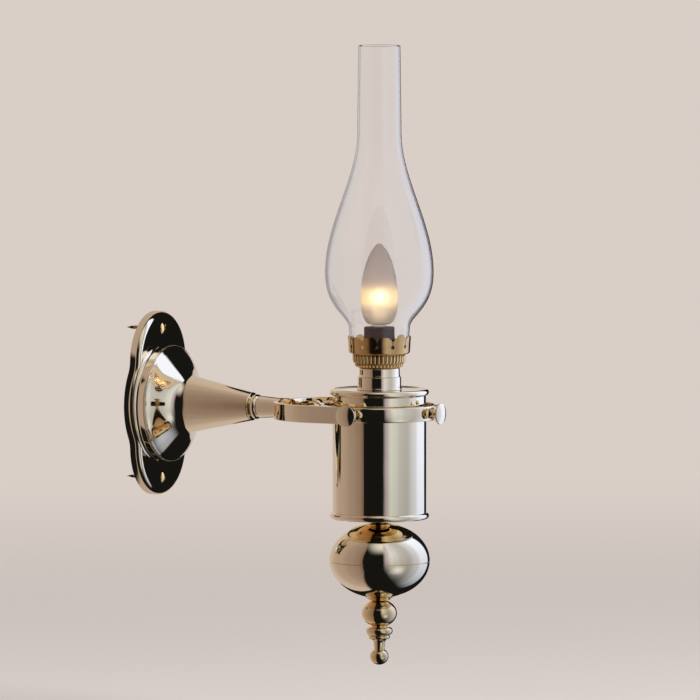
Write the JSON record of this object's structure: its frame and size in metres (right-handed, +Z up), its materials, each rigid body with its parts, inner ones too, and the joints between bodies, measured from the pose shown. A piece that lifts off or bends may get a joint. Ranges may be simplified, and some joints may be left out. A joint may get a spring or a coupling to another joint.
{
  "type": "wall lamp",
  "caption": "Ship's wall lamp: a trumpet arm and fork carry a gimbal ring and an oil-lamp body with a tall glass chimney, a candle bulb and a weighted ball.",
  "frame": {"origin": "centre of the wall plate's back face, on the wall", "axes": "+Y into the wall, so that the lamp stands out along -Y; +Z up; +X to the right when facing the wall"},
  "size_m": [0.1416, 0.3396, 0.5834],
  "materials": {
    "pale_brass": "polished",
    "golden_brass": "gloss",
    "turned_brass": "gloss",
    "bronze": "satin",
    "plated_steel": "satin",
    "cast_weight": "matte",
    "black_rubber": "matte",
    "connector_plastic": "matte",
    "holder_brown": "gloss",
    "holder_ceramic": "satin",
    "chimney_glass": "gloss",
    "bulb_frosted": "satin",
    "stem_glass": "gloss",
    "filament": "satin"
  },
  "bodies": {
    "bracket": {"wall_plate": "pale_brass", "wall_screws": "golden_brass", "terminal_block": "connector_plastic", "terminal_screws": "plated_steel", "earth_screw": "golden_brass", "bell": "pale_brass", "nose_collar": "pale_brass", "fork_neck": "pale_brass", "fork_yoke": "pale_brass", "tie_rod": "golden_brass", "tie_rod_nuts": "golden_brass", "yoke_washer": "golden_brass", "cord_bush": "black_rubber", "fork_pivot_screws": "pale_brass", "fork_pivot_washers": "golden_brass"},
    "ring": {"gimbal_ring": "pale_brass", "ring_bushes": "bronze", "ring_pivot_screws": "pale_brass"},
    "lamp": {"reservoir": "pale_brass", "reservoir_bushes": "bronze", "cord_grommet": "black_rubber", "lid": "pale_brass", "lid_screws": "golden_brass", "lower_collar": "pale_brass", "upper_collar": "pale_brass", "burner_bowl": "golden_brass", "gallery_crown": "golden_brass", "burner_tube": "golden_brass", "burner_nuts": "golden_brass", "holder_shell": "holder_brown", "holder_core": "holder_ceramic", "holder_sleeve": "golden_brass", "holder_contact": "bronze", "ball_neck": "golden_brass", "ball_upper": "pale_brass", "ball_lower": "pale_brass", "ballast": "cast_weight", "through_rod": "plated_steel", "through_nuts": "plated_steel", "finial_cup": "pale_brass", "finial": "turned_brass"},
    "glass": {"chimney": "chimney_glass"},
    "bulb": {"bulb_glass": "bulb_frosted", "bulb_cap": "plated_steel", "bulb_stem": "stem_glass", "bulb_filament": "filament"}
  },
  "joints": [
    {"name": "ring_tilt", "type": "hinge", "parent": "bracket", "child": "ring", "pos_m": [0, -0.242, 0], "axis": [1, 0, 0], "range_deg": [-40, 40]},
    {"name": "lamp_tilt", "type": "hinge", "parent": "ring", "child": "lamp", "pos_m": [0, -0.242, 0], "axis": [0, 1, 0], "range_deg": [-22, 22]},
    {"name": "chimney_lift", "type": "slide", "parent": "lamp", "child": "glass", "axis": [0, 0, 1], "range_m": [0, 0.11]},
    {"name": "bulb_turn", "type": "hinge", "parent": "lamp", "child": "bulb", "pos_m": [0, -0.242, 0.07], "axis": [0, 0, 1], "continuous": true}
  ]
}
